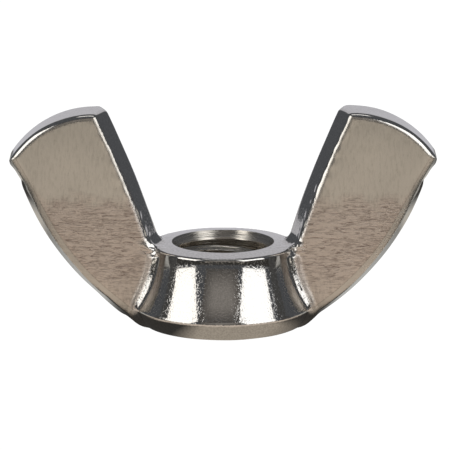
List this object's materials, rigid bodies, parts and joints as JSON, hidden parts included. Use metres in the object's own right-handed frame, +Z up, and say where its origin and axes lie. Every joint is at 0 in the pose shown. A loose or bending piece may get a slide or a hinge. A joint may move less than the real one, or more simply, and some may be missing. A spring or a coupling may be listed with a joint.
{
  "type": "wing nut",
  "caption": "Wing nut with a waisted round hub, a tapped through bore and upright flat wings with domed ends, tightened and loosened by hand.",
  "frame": {"origin": "centre of the flat seating face at the nut's base, on the thread axis", "axes": "+X along the wings, +Y through their thickness, +Z up along the thread axis from the seat towards the wing tips"},
  "size_m": [0.0316, 0.0132, 0.016],
  "materials": {
    "stainless_steel": "bright stainless steel: mirror polished on the hub, satin and lightly brushed on the wing faces, cut metal in the thread"
  },
  "bodies": {
    "root": {"wing_nut": "stainless_steel"}
  },
  "joints": []
}
